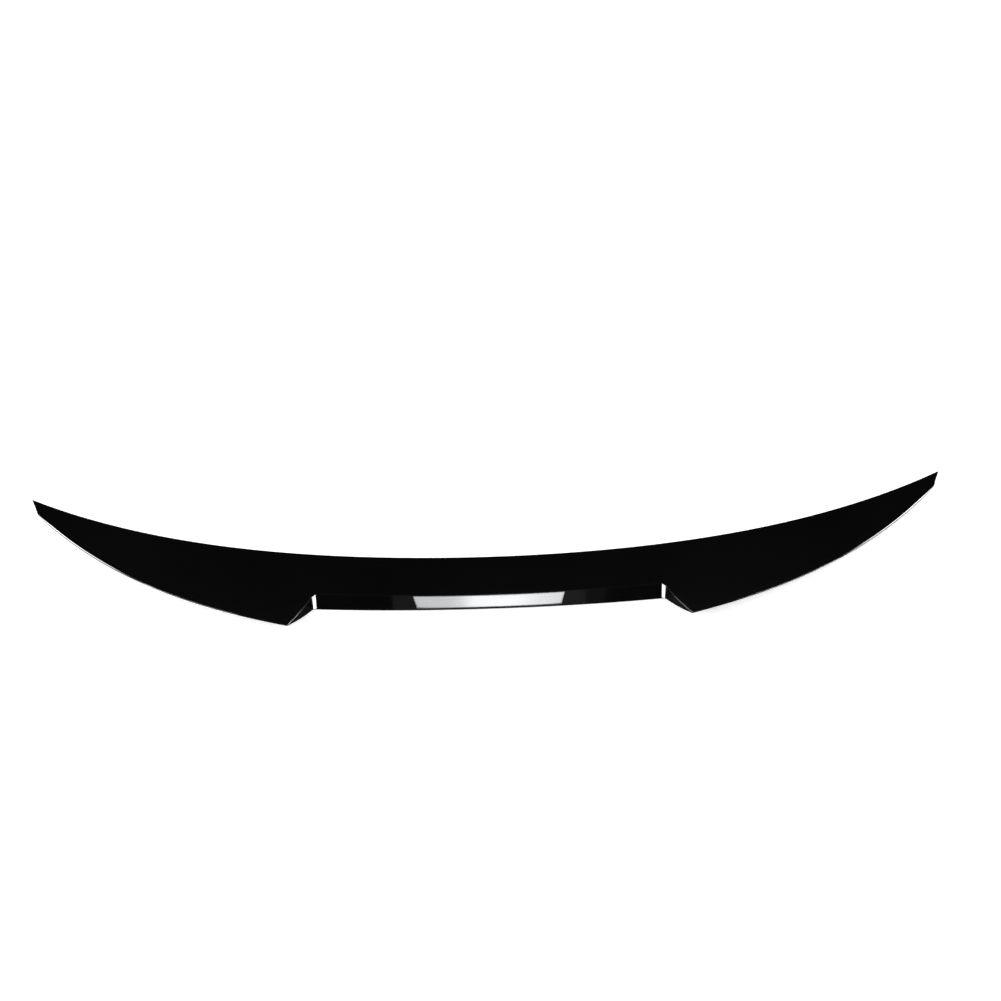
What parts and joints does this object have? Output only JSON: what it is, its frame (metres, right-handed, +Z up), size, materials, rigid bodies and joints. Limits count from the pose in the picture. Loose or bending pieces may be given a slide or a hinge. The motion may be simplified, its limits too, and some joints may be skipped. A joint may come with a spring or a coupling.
{
  "type": "car rear spoiler",
  "caption": "Slim moulded spoiler that bonds along a boot lid's rear edge, with a low middle lip, two taller wings and thin swept tips.",
  "frame": {"origin": "under the middle of the whole spoiler, on the surface that it rests on", "axes": "+X across the car, +Y towards the front of the car, +Z up"},
  "size_m": [1.24, 0.2376, 0.044],
  "materials": {
    "gloss_black": "deep gloss black lacquer",
    "satin_silver": "satin silver, bare",
    "foam_tape": "dull grey foam"
  },
  "bodies": {
    "root": {"spoiler_shell": "gloss_black", "centre_plate": "satin_silver", "front_tape_left": "foam_tape", "front_tape_right": "foam_tape", "rear_tape_left": "foam_tape", "rear_tape_centre": "foam_tape", "rear_tape_right": "foam_tape"}
  },
  "joints": []
}
